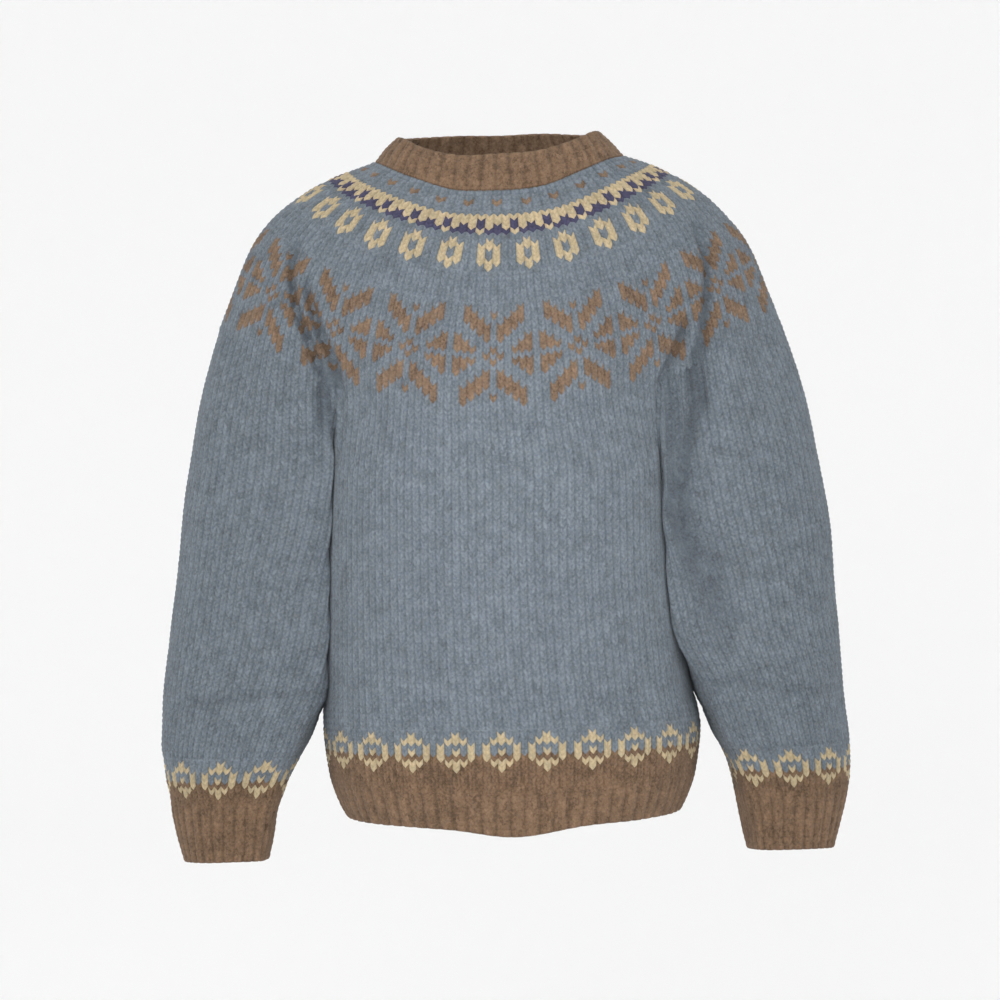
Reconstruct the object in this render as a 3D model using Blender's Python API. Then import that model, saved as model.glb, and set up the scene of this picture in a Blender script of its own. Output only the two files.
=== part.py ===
"""Nordic yoke sweater, worn and filled out, with no wearer.

Eight knitted tubes: collar, yoke, body, hem band, two sleeves and two cuffs. +Z is up, the front faces
-Y and +X is the side of sleeve_right. The origin is the middle of the neck opening, level with the foot
of the collar at its sides. All sizes here are millimetres; the meshes are in metres.

Every tube is a wall on one smooth set of lines. A line starts at the collar's foot, runs down the yoke,
and goes on down the body or a sleeve. Under each arm the lines of the body and of the sleeve meet.
"""

import math

import bmesh
import bpy
import numpy as np

COLLECTION = "Nordic yoke sweater"

METRE = 1000.0
WALL = 3.2  # thickness of the knitted cloth
SEAM_GAP = 0.3  # between two tubes that are joined
RIB_DEPTH = 1.6  # from the crest of a rib to its furrow
SHARP_ANGLE = math.radians(50)  # edges with more than this are shaded sharp

# Columns of faces: each is two stitches of the yoke, which has 192
FRONT_COLUMNS = 24  # from armhole to armhole, and as many on the back
SLEEVE_COLUMNS = 24  # over a shoulder
UNDERARM_COLUMNS = 8
YOKE_COLUMNS = 2 * (FRONT_COLUMNS + SLEEVE_COLUMNS)
BODY_COLUMNS = 2 * (FRONT_COLUMNS + UNDERARM_COLUMNS)
TUBE_COLUMNS = SLEEVE_COLUMNS + UNDERARM_COLUMNS
HEM_COLUMNS = 144  # a crest and a furrow for each of 72 ribs
CUFF_COLUMNS = 48
QUARTER = YOKE_COLUMNS // 8  # from the front's middle to an armhole

YOKE_ROWS = 10
BODY_ROWS = 10
SLEEVE_ROWS = 13
RIB_ROWS = 3

# The yoke's outer side: lines at equal steps round the right half, from the front's middle to the
# back's. Each has five points (x, y, z) at equal steps down the cloth.
YOKE_LINES = (
    # foot of collar     first quarter     middle             last quarter       foot of yoke
    ((0, -85, -40), (0, -105, -90), (0, -120, -141), (0, -128, -194), (0, -131, -248)),
    ((41, -80, -36), (57, -99, -84), (69, -114, -137), (78, -122, -191), (82, -122, -246)),
    ((78, -64, -22), (111, -76, -65), (136, -84, -121), (149, -81, -180), (152, -66, -238)),
    ((106, -38, -8), (154, -45, -43), (193, -60, -94), (214, -70, -156), (227, -70, -217)),
    ((118, 0, 0), (180, 0, -27), (229, 0, -72), (256, -1, -133), (279, -3, -196)),
    ((110, 33, 0), (155, 45, -39), (194, 62, -90), (215, 73, -153), (228, 72, -216)),
    ((84, 58, 1), (114, 77, -50), (138, 90, -108), (150, 88, -170), (152, 68, -234)),
    ((43, 74, 2), (59, 101, -46), (71, 118, -103), (79, 127, -167), (83, 128, -232)),
    ((0, 80, 2), (0, 108, -46), (0, 126, -105), (0, 134, -167), (0, 136, -232)),
)
FRONT_ARMHOLE, BACK_ARMHOLE = 2, 6  # the lines that end at an armhole
YOKE_SWAY = 4.0  # both shoulders sit this far towards -X
SWAY_FROM, SWAY_TO = 120.0, 250.0  # from this far out, growing to the whole sway here
FRONT_TURN = 7.0  # the front is turned this far towards -X at the foot of the yoke
FRONT_DEPTH, FRONT_HEIGHT = 100.0, 240.0  # the turn is whole this far forward and this far down
NECK_TILT = 0.04  # the front of the neck opening rises this much for each unit towards +X
NECK_DEPTH, NECK_FADE = 80.0, 90.0  # the tilt is whole this far forward, and gone this far down

# The seam under the right arm, from front to back
UNDERARM = ((152, -66, -238), (160, -36, -251), (162, 0, -257), (160, 37, -249), (152, 68, -234))

# Level rings of the body's outer side
BODY_RINGS = (
    # height, half width, front, back
    (-300, 163, 130, 134),
    (-343, 165, 129, 131),
    (-420, 168, 129, 127),
    (-500, 174, 129, 126),
    (-540, 178, 129, 127),
    (-568, 175, 130, 128),
)
HEM_RINGS = (
    # height, half width, front, back
    (-588, 171, 131, 128),
    (-604, 165, 131, 128),
    (-618, 158, 131, 126),
)
HEM_DIPS = (2.7, 5.9, 9.0)  # how much lower the front of each of them hangs in the middle
HEM_DIP_REACH = 48.0  # how far to each side that fades out

# Level rings of a sleeve's outer side
SLEEVE_RINGS = (
    # height, inner x, outer x, middle y, half depth, sway, fuller
    (-300, 150, 301, 0, 73, 7.0, -3.0),
    (-350, 152, 308, 0, 73, 7.0, -2.8),
    (-400, 157, 313, 0, 71, 5.0, 0.5),
    (-450, 164, 318, -1, 70, 3.0, 4.0),
    (-500, 177, 322, -2, 69, -2.0, 9.8),
    (-531, 191, 323, -3, 68, 0.8, 6.2),
    (-550, 197, 324, -4, 66, 1.4, 5.4),
    (-567, 204, 323, -5, 62, 2.4, 3.3),
    (-582, 210, 322, -6, 56, 3.5, 1.5),
    (-595, 214, 320, -6, 51, 4.0, 0.0),
)
CUFF_RINGS = (
    # height, inner x, outer x, middle y, half depth, sway, fuller
    (-615, 220, 317, -7, 47, 5.5, -1.0),
    (-636, 224, 312, -8, 45, 5.5, -0.5),
    (-659, 229, 306, -9, 42, 6.0, -0.5),
)
CUFF_TILTS = (0.03, 0.07, 0.10)  # each of them falls this much for each unit towards the back
PRESS_GAP = 2.5  # left between a sleeve and the body where it lies against it
PRESS_BLEND = 4.0  # how softly it comes away from the body

# The collar's rim, at equal steps round the right half from the front's middle
COLLAR_MIDDLE = (
    (0, -81, -22), (39, -76, -19), (74, -60, -7), (98, -35, 6), (108, 0, 12),
    (100, 30, 13), (77, 53, 15), (40, 68, 17), (0, 75, 17),
)
COLLAR_RIM = (
    (0, -73, -5), (36, -69, -3), (68, -54, 6), (89, -32, 18), (96, 0, 23),
    (90, 28, 25), (70, 49, 28), (37, 64, 31), (0, 70, 31),
)

BODY_SQUARENESS = 2.35  # 2 is an ellipse
SLEEVE_SQUARENESS = 2.1
OVAL_STEPS = 720
LEAD_IN = 0.5  # how far the lines are carried on above a seam, in steps between rings

# Troughs that the arms' hang presses into the cloth, on the outer side: from and to say where a trough
# starts and ends on its piece, as (share round, share down)
YOKE_CREASES = (
    # from, to, depth, half width in shares of the round
    ((0.128, 0.30), (0.124, 1.00), 4.5, 0.018),
    ((-0.133, 0.24), (-0.124, 1.00), 5.0, 0.017),
    ((0.168, 0.34), (0.158, 0.78), 2.5, 0.015),
    ((-0.165, 0.26), (-0.142, 0.80), 3.0, 0.013),
    ((0.372, 0.36), (0.376, 1.00), 4.5, 0.018),
    ((-0.378, 0.40), (-0.376, 1.00), 4.5, 0.018),
)
SLEEVE_CREASES = (
    # from, to, depth, half width; the round starts at the outer side and goes towards the back
    ((0.74, 0.00), (0.70, 0.34), 3.5, 0.035),
    ((0.33, 0.02), (0.37, 0.40), 3.0, 0.035),
    ((0.60, 0.78), (0.86, 0.86), 2.2, 0.050),
    ((0.10, 0.80), (0.40, 0.88), 2.2, 0.050),
)

CREASE_END = 1.2  # a crease fades out at this share of its length

BLUE = (0.21, 0.25, 0.29)
BROWN = (0.22, 0.16, 0.12)
ROUGHNESS = 0.95


def start_clean():
    """Removes the scene's objects and returns the sweater's own collection."""
    for old in list(bpy.data.objects):
        bpy.data.objects.remove(old, do_unlink=True)
    collection = bpy.data.collections.new(COLLECTION)
    bpy.context.scene.collection.children.link(collection)
    return collection


def yarn(name, colour):
    """A matt wool."""
    material = bpy.data.materials.new(name)
    material.use_nodes = True
    shader = material.node_tree.nodes["Principled BSDF"]
    shader.inputs["Base Color"].default_value = (*colour, 1.0)
    shader.inputs["Roughness"].default_value = ROUGHNESS
    shader.inputs["Metallic"].default_value = 0.0
    return material


def curve(knots, points, at):
    """Smooth lines through points (n, lines, 3) whose knots (n, lines) rise, read at (m, lines)."""
    step = np.diff(knots, axis=0)
    slope = np.diff(points, axis=0) / step[..., None]
    share = (step[:-1] / (step[:-1] + step[1:]))[..., None]
    tangent = np.concatenate([slope[:1], (1 - share) * slope[:-1] + share * slope[1:], slope[-1:]])
    place = (at[:, None, :] >= knots[None, 1:-1, :]).sum(axis=1)
    line = np.arange(knots.shape[1])[None, :]
    length = step[place, line][..., None]
    t = (at - knots[place, line])[..., None] / length
    start, end = points[place, line], points[place + 1, line]
    leave, arrive = tangent[place, line] * length, tangent[place + 1, line] * length
    return (
        start * (2 * t**3 - 3 * t**2 + 1)
        + leave * (t**3 - 2 * t**2 + t)
        + end * (3 * t**2 - 2 * t**3)
        + arrive * (t**3 - t**2)
    )


def along(points, first, last, shares):
    """Rows at shares of the way from one knot to another on lines through points (n, lines, 3)."""
    chords = np.linalg.norm(np.diff(points, axis=0), axis=2)
    knots = np.concatenate([np.zeros((1, points.shape[1])), np.cumsum(chords, axis=0)])
    reach = knots[last] - knots[first]
    return curve(knots, points, knots[first] + np.asarray(shares)[:, None] * reach)


def ring_through(half, shares):
    """A closed ring through the points of its right half, mirrored, at shares of the round."""
    right = np.array(half, float)
    ring = np.concatenate([right, right[-2:0:-1] * (-1, 1, 1)])
    count = len(ring)
    places = np.arange(-2, count + 3)
    knots = (places / count)[:, None]
    return curve(knots, ring[places % count][:, None, :], np.asarray(shares)[:, None] % 1.0)[:, 0]


def eased(share):
    """A share from 0 to 1 that starts and ends softly."""
    share = np.clip(share, 0, 1)
    return share * share * (3 - 2 * share)


def swayed(points):
    """Sets the shoulders, the front and the neck a little off the middle, as worn."""
    x, y, z = points[..., 0], points[..., 1], points[..., 2]
    moved = points.copy()
    moved[..., 0] -= YOKE_SWAY * eased((np.abs(x) - SWAY_FROM) / (SWAY_TO - SWAY_FROM))
    moved[..., 0] -= FRONT_TURN * eased(-y / FRONT_DEPTH) * eased(-z / FRONT_HEIGHT)
    moved[..., 2] += NECK_TILT * x * eased(-y / NECK_DEPTH) * (1 - eased(-z / NECK_FADE))
    return moved


def oval(squareness, shares):
    """Unit ring (out, across) by shares of its length, from out = 1 towards across = 1."""
    angle = np.linspace(0, 2 * math.pi, OVAL_STEPS + 1)
    power = 2 / squareness
    out = np.sign(np.cos(angle)) * np.abs(np.cos(angle)) ** power
    across = np.sign(np.sin(angle)) * np.abs(np.sin(angle)) ** power
    length = np.concatenate([[0], np.cumsum(np.hypot(np.diff(out), np.diff(across)))])
    wanted = (np.asarray(shares) % 1.0) * length[-1]
    return np.interp(wanted, length, out), np.interp(wanted, length, across)


def body_ring(row, shares):
    """A level ring of the body, from the front's middle towards +X."""
    height, half_width, front, back = row
    forward, side = oval(BODY_SQUARENESS, shares)
    depth = np.where(forward > 0, front, back)
    return np.stack([half_width * side, -depth * forward, np.full(len(side), float(height))], axis=1)


def hem_ring(row, shares, dip):
    """A ring of the hem band, which hangs lower by dip in the front's middle."""
    points = body_ring(row, shares)
    lower = dip * np.exp(-((points[:, 0] / HEM_DIP_REACH) ** 2))
    points[:, 2] -= np.where(points[:, 1] < 0, lower, 0.0)
    return points


def body_side(y, z):
    """How far out the body's side reaches at a depth and a height."""
    height, half_width, front, back = np.array(BODY_RINGS + HEM_RINGS, float)[::-1].T
    wide, fore, aft = (np.interp(z, height, values) for values in (half_width, front, back))
    share = np.clip(np.abs(y) / np.where(y < 0, fore, aft), 0, 1)
    return wide * (1 - share**BODY_SQUARENESS) ** (1 / BODY_SQUARENESS)


def sleeve_ring(row, shares, side, tilt=0.0):
    """A ring of a sleeve, from its outer side towards the back. side is 1 for the right one."""
    height, inner, outer, middle, half_depth, sway, fuller = row
    inner -= side * sway
    outer -= side * (sway + fuller)
    out, back = oval(SLEEVE_SQUARENESS, shares)
    x = (inner + outer) / 2 + (outer - inner) / 2 * out
    y = middle + half_depth * back
    z = height - tilt * half_depth * back
    against = body_side(y, z) + PRESS_GAP
    proud = x - against
    x = against + (proud + np.sqrt(proud**2 + PRESS_BLEND**2)) / 2
    return np.stack([side * x, y, z], axis=1)


def down_shares(rows):
    """Shares of the way down a piece with this many rows of faces."""
    return np.linspace(0, 1, rows + 1)


def closed_shares(columns):
    """Shares of the way round a piece with this many columns of faces."""
    return np.arange(columns) / columns


def trough(round_share, down_share, crease):
    """How far a crease presses in the outer side: a soft trough that fades at both its ends."""
    (u0, v0), (u1, v1), depth, half_width = crease
    t = (down_share - v0) / (v1 - v0)
    fade = np.clip(4 * t * (CREASE_END - t), 0, 1)
    middle = u0 + (u1 - u0) * np.clip(t, 0, 1)
    off = (round_share - middle + 0.5) % 1.0 - 0.5
    return depth * fade * np.exp(-((off / half_width) ** 2))


def directions(grid, flip):
    """Unit directions into the cloth from a grid of outer points (rows, columns, 3), closed round.
    flip is -1 where the rows go up or the columns go the other way round."""
    round_way = np.roll(grid, -1, axis=1) - np.roll(grid, 1, axis=1)
    down_way = np.gradient(grid, axis=0)
    return unit(np.cross(round_way, down_way) * flip)


def unit(vectors):
    """The vectors with a length of 1."""
    return vectors / np.linalg.norm(vectors, axis=-1, keepdims=True)


def level(vectors):
    """The vectors laid level, with a length of 1."""
    return unit(vectors * (1, 1, 0))


def pulled(edge, into, flip):
    """The edge of a piece moved back from a seam by half the gap, towards where the piece lies."""
    way = np.roll(edge, -1, axis=0) - np.roll(edge, 1, axis=0)
    return edge + unit(np.cross(into, way)) * flip * SEAM_GAP / 2


def tube(name, collection, colour, outer, into, ribs=None):
    """A closed wall from outer points (rows, columns, 3) and the directions into the cloth."""
    inner = outer + into * WALL
    if ribs is not None:
        outer = outer + into * ribs[..., None] * RIB_DEPTH
    rows, columns = outer.shape[:2]
    mesh = bmesh.new()
    skins = [
        [[mesh.verts.new(point / METRE) for point in row] for row in skin]
        for skin in (outer, inner)
    ]
    for column in range(columns):
        beside = (column + 1) % columns
        for row in range(rows - 1):
            for skin, order in ((skins[0], 1), (skins[1], -1)):
                corners = [
                    skin[row][column], skin[row + 1][column],
                    skin[row + 1][beside], skin[row][beside],
                ]
                mesh.faces.new(corners[::order])
        for row, order in ((0, -1), (rows - 1, 1)):
            rim = [
                skins[0][row][column], skins[1][row][column],
                skins[1][row][beside], skins[0][row][beside],
            ]
            mesh.faces.new(rim[::order])
    bmesh.ops.recalc_face_normals(mesh, faces=mesh.faces)
    bmesh.ops.triangulate(mesh, faces=mesh.faces)
    data = bpy.data.meshes.new(name)
    mesh.to_mesh(data)
    mesh.free()
    data.shade_smooth()
    data.set_sharp_from_angle(angle=SHARP_ANGLE)
    data.materials.append(yarn(f"{name} wool", colour))
    piece = bpy.data.objects.new(name, data)
    collection.objects.link(piece)
    return piece


def rib_pattern(columns, at_seam):
    """0 on the crest of each rib and 1 in its furrow, or at_seam in the row of the seam."""
    furrow = np.tile(np.arange(columns) % 2, (RIB_ROWS + 1, 1)).astype(float)
    furrow[0] *= at_seam
    return furrow


def yoke_levels(shares):
    """The yoke's five rings at shares of the round: (5, columns, 3)."""
    lines = np.array(YOKE_LINES, float)
    return np.stack([swayed(ring_through(lines[:, ring], shares)) for ring in range(lines.shape[1])])


def ring_below_yoke():
    """Where each line of the yoke leads: the first rings of the body and of the sleeves."""
    below = np.empty((YOKE_COLUMNS, 3))
    body = body_ring(BODY_RINGS[0], closed_shares(BODY_COLUMNS))
    front = np.arange(-QUARTER, QUARTER + 1)
    below[front] = body[front]
    back = np.arange(3 * QUARTER, 5 * QUARTER + 1)
    below[back] = body[back - 2 * QUARTER + UNDERARM_COLUMNS]
    for side in (1, -1):
        ring = sleeve_ring(SLEEVE_RINGS[0], closed_shares(TUBE_COLUMNS), side)
        for step in range(-QUARTER + 1, QUARTER):
            below[side * (2 * QUARTER + step)] = ring[step]
    return below


def yoke_wall():
    """The yoke's outer points and its directions into the cloth."""
    shares, down = closed_shares(YOKE_COLUMNS), down_shares(YOKE_ROWS)
    levels = yoke_levels(shares)
    grid = along(np.concatenate([levels, [ring_below_yoke()]]), 0, len(levels) - 1, down)
    into = directions(grid, 1)
    for crease in YOKE_CREASES:
        grid = grid + into * trough(shares[None, :], down[:, None], crease)[..., None]
    return grid, directions(grid, 1)


def underarm(foot, foot_into, side):
    """The seam under an arm, from front to back, with both ends taken from the yoke's foot."""
    front, back = side * QUARTER, side * 3 * QUARTER
    points = np.array(UNDERARM, float)
    points[0], points[-1] = YOKE_LINES[FRONT_ARMHOLE][-1], YOKE_LINES[BACK_ARMHOLE][-1]
    knots = np.linspace(0, 1, len(points))[:, None]
    shares = down_shares(UNDERARM_COLUMNS)
    seam = curve(knots, points[:, None, :], shares[:, None])[:, 0]
    seam[:, 0] *= side
    seam = swayed(seam)
    seam += np.outer(1 - shares, foot[front] - seam[0])
    seam += np.outer(shares, foot[back] - seam[-1])
    lean = np.sin(math.pi * shares)[:, None]
    ends = np.where(shares[:, None] < 0.5, foot_into[front], foot_into[back])
    return seam, unit((1 - lean) * ends + lean * np.array([0.0, 0.0, 1.0]))


def body_edge(foot, foot_into):
    """The body's upper ring and its directions, from the front's middle towards +X."""
    right, left = (underarm(foot, foot_into, side) for side in (1, -1))
    return [
        np.concatenate([
            own[:QUARTER], arm_right[:-1], own[3 * QUARTER:5 * QUARTER], arm_left[:0:-1], own[-QUARTER:],
        ])
        for own, arm_right, arm_left in zip((foot, foot_into), right, left)
    ]


def sleeve_edge(foot, foot_into, side):
    """A sleeve's upper ring and its directions, from the outer side towards the back."""
    back_half = side * np.arange(2 * QUARTER, 3 * QUARTER)
    front_half = side * np.arange(QUARTER, 2 * QUARTER)
    return [
        np.concatenate([own[back_half], seam[:0:-1], own[front_half]])
        for own, seam in zip((foot, foot_into), underarm(foot, foot_into, side))
    ]


def led_in(edge, rings):
    """The rings with the edge above them and the lines carried on a little above the edge."""
    return np.stack([edge + (edge - rings[0]) * LEAD_IN, edge, *rings])


def make_collar_and_yoke(collection, wool):
    """Builds both, and returns the yoke's lower edge and its directions."""
    yoke, yoke_into = yoke_wall()
    foot, foot_into = yoke[-1].copy(), yoke_into[-1].copy()
    top = yoke[0].copy()

    shares = closed_shares(YOKE_COLUMNS)
    middle, rim = (swayed(ring_through(ring, shares)) for ring in (COLLAR_MIDDLE, COLLAR_RIM))
    collar = along(np.stack([yoke[1], top, middle, rim]), 1, 3, down_shares(RIB_ROWS))
    collar_into = directions(collar, -1)
    collar_into[0] = yoke_into[0] = unit(collar_into[0] + yoke_into[0])
    collar[0] = pulled(top, yoke_into[0], -1)
    tube("collar", collection, wool["brown"], collar, collar_into, rib_pattern(YOKE_COLUMNS, 0.5))

    yoke[0] = pulled(top, yoke_into[0], 1)
    yoke[-1] = pulled(foot, foot_into, -1)
    tube("yoke", collection, wool["blue"], yoke, yoke_into)
    return foot, foot_into


def make_body(collection, wool, foot, foot_into):
    """From the yoke and the seams under the arms to the hem band."""
    shares = closed_shares(BODY_COLUMNS)
    edge, edge_into = body_edge(foot, foot_into)
    rings = [body_ring(row, shares) for row in BODY_RINGS]
    rings.append(hem_ring(HEM_RINGS[0], shares, HEM_DIPS[0]))
    body = along(led_in(edge, rings), 1, len(rings), down_shares(BODY_ROWS))
    into = directions(body, 1)
    into[0], into[-1] = edge_into, level(into[-1])
    body[0] = pulled(edge, edge_into, 1)
    body[-1, :, 2] += SEAM_GAP / 2
    tube("body", collection, wool["blue"], body, into)


def make_hem_band(collection, wool):
    """From the body to the lower edge."""
    shares = closed_shares(HEM_COLUMNS)
    rings = [body_ring(row, shares) for row in BODY_RINGS[-2:]]
    rings += [hem_ring(row, shares, dip) for row, dip in zip(HEM_RINGS, HEM_DIPS)]
    hem = along(np.stack(rings), 1, len(rings) - 1, down_shares(RIB_ROWS))
    into = directions(hem, 1)
    into[0] = level(into[0])
    hem[0, :, 2] -= SEAM_GAP / 2
    tube("hem_band", collection, wool["brown"], hem, into, rib_pattern(HEM_COLUMNS, 0.0))


def make_sleeve(collection, wool, word, side, foot, foot_into):
    """From the yoke and the seam under the arm to the cuff."""
    shares, down = closed_shares(TUBE_COLUMNS), down_shares(SLEEVE_ROWS)
    edge, edge_into = sleeve_edge(foot, foot_into, side)
    rings = [sleeve_ring(row, shares, side) for row in SLEEVE_RINGS + CUFF_RINGS[:1]]
    sleeve = along(led_in(edge, rings), 1, len(rings), down)
    into = directions(sleeve, side)
    for crease in SLEEVE_CREASES:
        sleeve[1:-1] += (into * trough(shares[None, :], down[:, None], crease)[..., None])[1:-1]
    into = directions(sleeve, side)
    into[0], into[-1] = edge_into, level(into[-1])
    sleeve[0] = pulled(edge, edge_into, side)
    sleeve[-1, :, 2] += SEAM_GAP / 2
    tube(f"sleeve_{word}", collection, wool["blue"], sleeve, into)


def make_cuff(collection, wool, word, side):
    """From the sleeve to the wrist's edge."""
    shares = closed_shares(CUFF_COLUMNS)
    rings = [sleeve_ring(row, shares, side) for row in SLEEVE_RINGS[-2:]]
    rings += [sleeve_ring(row, shares, side, tilt) for row, tilt in zip(CUFF_RINGS, CUFF_TILTS)]
    cuff = along(np.stack(rings), 1, len(rings) - 1, down_shares(RIB_ROWS))
    into = directions(cuff, side)
    into[0] = level(into[0])
    cuff[0, :, 2] -= SEAM_GAP / 2
    tube(f"cuff_{word}", collection, wool["brown"], cuff, into, rib_pattern(CUFF_COLUMNS, 0.0))


def build():
    """The whole sweater."""
    collection = start_clean()
    wool = {"blue": BLUE, "brown": BROWN}
    foot, foot_into = make_collar_and_yoke(collection, wool)
    make_body(collection, wool, foot, foot_into)
    make_hem_band(collection, wool)
    for side, word in ((1, "right"), (-1, "left")):
        make_sleeve(collection, wool, word, side, foot, foot_into)
        make_cuff(collection, wool, word, side)


build()
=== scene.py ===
"""Nordic yoke sweater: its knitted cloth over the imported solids, with a plain studio and the camera.

Each solid is replaced by a closed wall near its form. The wall's outer side is knitted in relief: a
stitch is a V of two legs, 4 columns and 3 rows of faces, in the yarn that its chart gives. The blue
cloth's inner side has a bump for each purl stitch. Sizes are millimetres, and the meshes are metres.
"""

import math

import bpy
import numpy as np
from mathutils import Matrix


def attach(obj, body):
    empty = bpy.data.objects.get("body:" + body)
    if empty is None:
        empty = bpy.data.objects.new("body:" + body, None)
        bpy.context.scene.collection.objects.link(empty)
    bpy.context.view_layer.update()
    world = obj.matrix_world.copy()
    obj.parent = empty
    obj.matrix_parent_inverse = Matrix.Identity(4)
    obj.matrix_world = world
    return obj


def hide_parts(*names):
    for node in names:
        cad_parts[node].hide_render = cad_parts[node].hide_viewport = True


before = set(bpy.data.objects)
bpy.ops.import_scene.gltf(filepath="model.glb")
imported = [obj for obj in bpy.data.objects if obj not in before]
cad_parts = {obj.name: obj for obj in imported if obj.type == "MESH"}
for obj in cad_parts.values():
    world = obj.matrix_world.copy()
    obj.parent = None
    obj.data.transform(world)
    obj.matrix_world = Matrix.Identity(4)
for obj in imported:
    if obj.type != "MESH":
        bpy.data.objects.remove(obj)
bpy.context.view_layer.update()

METRE = 1000.0
WALL = 3.2  # thickness of the cloth
SEAM_GAP = 0.1  # between two pieces where the knitting runs on
SEED = 11

# ---- the form: the solids' tables, with the body and the sleeves set as they hang ----

# The yoke's outer side: lines at equal steps round the right half, from the front's middle to the
# back's. Each has five points (x, y, z) at equal steps down the cloth.
YOKE_LINES = (
    # foot of collar     first quarter     middle             last quarter       foot of yoke
    ((0, -85, -40), (0, -105, -90), (0, -120, -141), (0, -128, -194), (0, -131, -248)),
    ((41, -80, -36), (57, -99, -84), (69, -114, -137), (78, -122, -191), (82, -122, -246)),
    ((78, -64, -22), (111, -76, -65), (136, -84, -121), (149, -81, -180), (152, -66, -238)),
    ((106, -38, -8), (154, -45, -43), (193, -60, -94), (214, -70, -156), (227, -70, -217)),
    ((118, 0, 0), (180, 0, -27), (229, 0, -72), (256, -1, -133), (279, -3, -196)),
    ((110, 33, 0), (155, 45, -39), (194, 62, -90), (215, 73, -153), (228, 72, -216)),
    ((84, 58, 1), (114, 77, -50), (138, 90, -108), (150, 88, -170), (152, 68, -234)),
    ((43, 74, 2), (59, 101, -46), (71, 118, -103), (79, 127, -167), (83, 128, -232)),
    ((0, 80, 2), (0, 108, -46), (0, 126, -105), (0, 134, -167), (0, 136, -232)),
)
FRONT_ARMHOLE, BACK_ARMHOLE = 2, 6  # the lines that end at an armhole
YOKE_SWAY = 4.0  # both shoulders sit this far towards -X
SWAY_FROM, SWAY_TO = 120.0, 250.0  # from this far out, growing to the whole sway here
FRONT_TURN = 7.0  # the front is turned this far towards -X at the foot of the yoke
FRONT_DEPTH, FRONT_HEIGHT = 100.0, 240.0  # the turn is whole this far forward and this far down
NECK_TILT = 0.04  # the front of the neck opening rises this much for each unit towards +X
NECK_DEPTH, NECK_FADE = 80.0, 90.0  # the tilt is whole this far forward, and gone this far down

# The seam under the right arm, from front to back
UNDERARM = ((152, -66, -238), (160, -36, -251), (162, 0, -257), (160, 37, -249), (152, 68, -234))

# Level rings of the body's outer side
BODY_RINGS = (
    # height, half width, front, back, sway towards +X
    (-300, 163, 130, 134, -5),
    (-343, 165, 129, 131, -6),
    (-420, 168, 129, 127, -6),
    (-500, 174, 129, 126, -3),
    (-540, 178, 129, 127, 0),
    (-568, 175, 130, 128, 0),
)
HEM_RINGS = (
    # height, half width, front, back, sway
    (-588, 171, 131, 128, 0),
    (-604, 165, 131, 128, 0),
    (-618, 158, 131, 126, 0),
)
HEM_DIPS = (2.7, 5.9, 9.0)  # how much lower the front of each of them hangs in the middle
HEM_DIP_REACH = 48.0  # how far to each side that fades out

# Level rings of a sleeve's outer side. The sway is towards -X, and the left sleeve is fuller by the last
# column where the right one is less full
SLEEVE_RINGS = (
    # height, inner x, outer x, middle y, half depth, sway, fuller
    (-300, 120, 301, 0, 73, 7.0, -3.0),
    (-350, 122, 308, 0, 73, 7.0, -2.8),
    (-400, 126, 313, 0, 71, 5.0, 0.5),
    (-450, 138, 318, -1, 70, 3.0, 4.0),
    (-500, 168, 322, -2, 69, -2.0, 9.8),
    (-531, 185, 323, -3, 68, 0.8, 6.2),
    (-550, 193, 324, -4, 66, 1.4, 5.4),
    (-567, 203, 323, -5, 62, 2.4, 3.3),
    (-582, 210, 322, -6, 56, 3.5, 1.5),
    (-595, 214, 320, -6, 51, 4.0, 0.0),
)
CUFF_RINGS = (
    # height, inner x, outer x, middle y, half depth, sway, fuller
    (-615, 220, 317, -7, 47, 5.5, -1.0),
    (-636, 224, 312, -8, 45, 5.5, -0.5),
    (-659, 229, 306, -9, 42, 6.0, -0.5),
)
CUFF_TILTS = (0.03, 0.07, 0.10)  # each of them falls this much for each unit towards the back
PRESS_GAP = 1.2  # left between a sleeve and the body where it lies against it
PRESS_BLEND = 2.0  # how softly it comes away from the body

# The collar's rim, at equal steps round the right half from the front's middle
COLLAR_MIDDLE = (
    (0, -81, -22), (39, -76, -19), (74, -60, -7), (98, -35, 6), (108, 0, 12),
    (100, 30, 13), (77, 53, 15), (40, 68, 17), (0, 75, 17),
)
COLLAR_RIM = (
    (0, -73, -5), (36, -69, -3), (68, -54, 6), (89, -32, 18), (96, 0, 23),
    (90, 28, 25), (70, 49, 28), (37, 64, 31), (0, 70, 31),
)

BODY_SQUARENESS = 2.35  # 2 is an ellipse
SLEEVE_SQUARENESS = 2.1
PRESSED_SQUARENESS = 5.0  # of the sleeves' inner halves, which lie flat against the body
OVAL_STEPS = 1440
LEAD_IN = 0.5  # how far the collar's lines are carried on into the yoke, in steps between its rings

# The yoke is shorter over the shoulders: this share of its lines is left to the sleeves and the body
YOKE_RISE = 0.165
RISE_POWER = 1.5
YOKE_DROP = 0.012  # and in the front's middle it is longer than its lines by this share
SEAM_BLEND = 3  # how quickly the seam under an arm falls away from the yoke's foot
SEAM_LEAD = 20.0  # how far the lines under an arm are carried on above their seam
# How far forward each upper arm is set, fading out between these heights
ARM_SWING = {1: 2.0, -1: -18.0}
SWING_FROM, SWING_TO = -430.0, -530.0
# The share of a sleeve's round where its stitches under the arm begin, and the share of a ring's length
# that they lead to at the first height. From the second one down the stitches are evenly spaced
UNDERARM_SHARE, CORNER_SHARE = 0.316, 0.355
CORNER_FROM, CORNER_TO = -300.0, -430.0

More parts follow.
